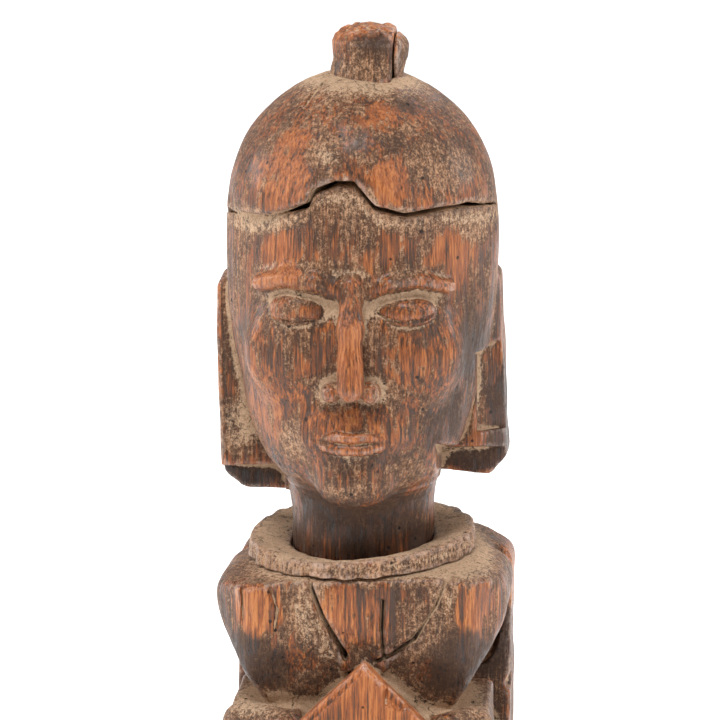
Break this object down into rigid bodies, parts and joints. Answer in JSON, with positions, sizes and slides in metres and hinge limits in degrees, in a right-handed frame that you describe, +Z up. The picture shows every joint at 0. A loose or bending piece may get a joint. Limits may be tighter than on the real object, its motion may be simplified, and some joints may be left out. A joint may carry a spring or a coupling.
{
  "type": "carved ancestor figure",
  "caption": "Seated wooden figure with a tall oval head, topknot, ring collar and square back board, holding a square tablet point up, on a square plinth.",
  "frame": {"origin": "middle of the plinth's underside", "axes": "+Z up; the figure faces -Y; its left hand is towards +X"},
  "size_m": [0.118, 0.118, 0.331],
  "materials": {
    "plinth_wood": "dark hardwood, worn edges, dust in the corners",
    "figure_wood": "red-brown hardwood, dark patina, pale dust crust in the cuts, dull polish on the edges",
    "head_wood": "red-brown hardwood, dark patina, pale dust crust in the cuts, dull polish on the edges",
    "collar_wood": "brown hardwood under a dry dust crust",
    "topknot_wood": "brown hardwood with dry, fibrous end grain",
    "tablet_wood": "fresh orange-brown hardwood with fine straight grain, unpolished",
    "peg_wood": "plain pale wood, unpolished"
  },
  "bodies": {
    "figure": {"plinth": "plinth_wood", "tenon_wedges": "peg_wood", "torso": "figure_wood", "tablet": "tablet_wood", "tablet_pegs": "peg_wood", "collar": "collar_wood"},
    "dowel": {"neck_dowel": "peg_wood"},
    "head": {"head": "head_wood", "topknot": "topknot_wood", "topknot_splinter": "topknot_wood"}
  },
  "joints": [
    {"name": "head_lift", "type": "slide", "parent": "figure", "child": "dowel", "axis": [0, 0, 1], "range_m": [0, 0.05]},
    {"name": "head_turn", "type": "hinge", "parent": "dowel", "child": "head", "pos_m": [0, 0, 0.124], "axis": [0, 0, 1], "continuous": true}
  ]
}
